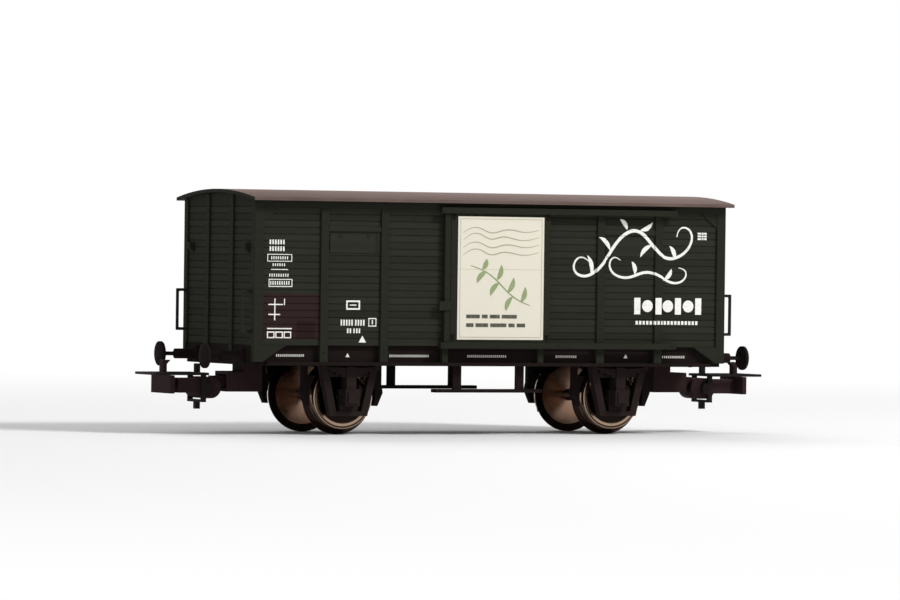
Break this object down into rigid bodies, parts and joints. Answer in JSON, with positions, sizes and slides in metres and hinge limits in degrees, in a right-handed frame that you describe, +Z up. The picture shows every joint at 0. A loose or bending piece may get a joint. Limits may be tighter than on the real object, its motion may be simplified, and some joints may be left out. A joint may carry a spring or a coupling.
{
  "type": "model railway covered goods wagon",
  "caption": "Scale model of a two-axle covered goods wagon: planked body with arched roof, sliding doors, turning wheelsets and swinging loop couplers.",
  "frame": {"origin": "on the floor under the wagon's middle, at the foot of the wheel flanges", "axes": "+X along the wagon, +Y towards the far side, +Z up"},
  "size_m": [0.1172, 0.0348, 0.0421],
  "materials": {
    "body_plastic": "satin dark green",
    "roof_plastic": "matt grey brown",
    "chassis_plastic": "satin black brown",
    "coupler_plastic": "satin black brown",
    "coupler_wire": "blackened",
    "wheel_metal": "browned, bright tread",
    "ballast_steel": "plain"
  },
  "bodies": {
    "wagon": {"side_planks_near": "body_plastic", "side_planks_far": "body_plastic", "side_frame_near": "body_plastic", "side_frame_far": "body_plastic", "door_rails_near": "body_plastic", "door_rails_far": "body_plastic", "end_wall_left": "body_plastic", "end_wall_right": "body_plastic", "end_posts_left": "body_plastic", "end_posts_right": "body_plastic", "grab_handles_left": "body_plastic", "grab_handles_right": "body_plastic", "lamp_brackets_left": "body_plastic", "lamp_brackets_right": "body_plastic", "roof": "roof_plastic", "floor_board": "chassis_plastic", "solebar_near": "chassis_plastic", "solebar_far": "chassis_plastic", "step_board_near": "chassis_plastic", "step_board_far": "chassis_plastic", "headstock_left": "chassis_plastic", "headstock_right": "chassis_plastic", "brake_shoes_left": "chassis_plastic", "brake_shoes_right": "chassis_plastic", "axle_guard_near_left": "chassis_plastic", "axle_guard_near_right": "chassis_plastic", "axle_guard_far_left": "chassis_plastic", "axle_guard_far_right": "chassis_plastic", "buffer_near_left": "chassis_plastic", "buffer_near_right": "chassis_plastic", "buffer_far_left": "chassis_plastic", "buffer_far_right": "chassis_plastic", "coupler_pocket_left": "coupler_plastic", "coupler_pocket_right": "coupler_plastic", "ballast_plate": "ballast_steel"},
    "wheelset_left": {"axle_left": "wheel_metal", "wheel_near_left": "wheel_metal", "wheel_far_left": "wheel_metal"},
    "coupler_left": {"coupler_head_left": "coupler_plastic"},
    "loop_left": {"coupler_loop_left": "coupler_wire"},
    "wheelset_right": {"axle_right": "wheel_metal", "wheel_near_right": "wheel_metal", "wheel_far_right": "wheel_metal"},
    "coupler_right": {"coupler_head_right": "coupler_plastic"},
    "loop_right": {"coupler_loop_right": "coupler_wire"},
    "sliding_door_near": {"door_near": "body_plastic"},
    "sliding_door_far": {"door_far": "body_plastic"}
  },
  "joints": [
    {"name": "wheelset_left_spin", "type": "hinge", "parent": "wagon", "child": "wheelset_left", "pos_m": [-0.02585, 0, 0.0065], "axis": [0, 1, 0], "continuous": true},
    {"name": "wheelset_right_spin", "type": "hinge", "parent": "wagon", "child": "wheelset_right", "pos_m": [0.02585, 0, 0.0065], "axis": [0, 1, 0], "continuous": true},
    {"name": "door_near_slide", "type": "slide", "parent": "wagon", "child": "sliding_door_near", "axis": [1, 0, 0], "range_m": [0, 0.018]},
    {"name": "door_far_slide", "type": "slide", "parent": "wagon", "child": "sliding_door_far", "axis": [-1, 0, 0], "range_m": [0, 0.018]},
    {"name": "coupler_left_swing", "type": "hinge", "parent": "wagon", "child": "coupler_left", "pos_m": [-0.0404, 0, 0.009], "axis": [0, 0, 1], "range_deg": [-12, 12]},
    {"name": "loop_left_lift", "type": "hinge", "parent": "coupler_left", "child": "loop_left", "pos_m": [-0.0484, 0, 0.0079], "axis": [0, 1, 0], "range_deg": [0, 30]},
    {"name": "coupler_right_swing", "type": "hinge", "parent": "wagon", "child": "coupler_right", "pos_m": [0.0404, 0, 0.009], "axis": [0, 0, 1], "range_deg": [-12, 12]},
    {"name": "loop_right_lift", "type": "hinge", "parent": "coupler_right", "child": "loop_right", "pos_m": [0.0484, 0, 0.0079], "axis": [0, -1, 0], "range_deg": [0, 30]}
  ]
}
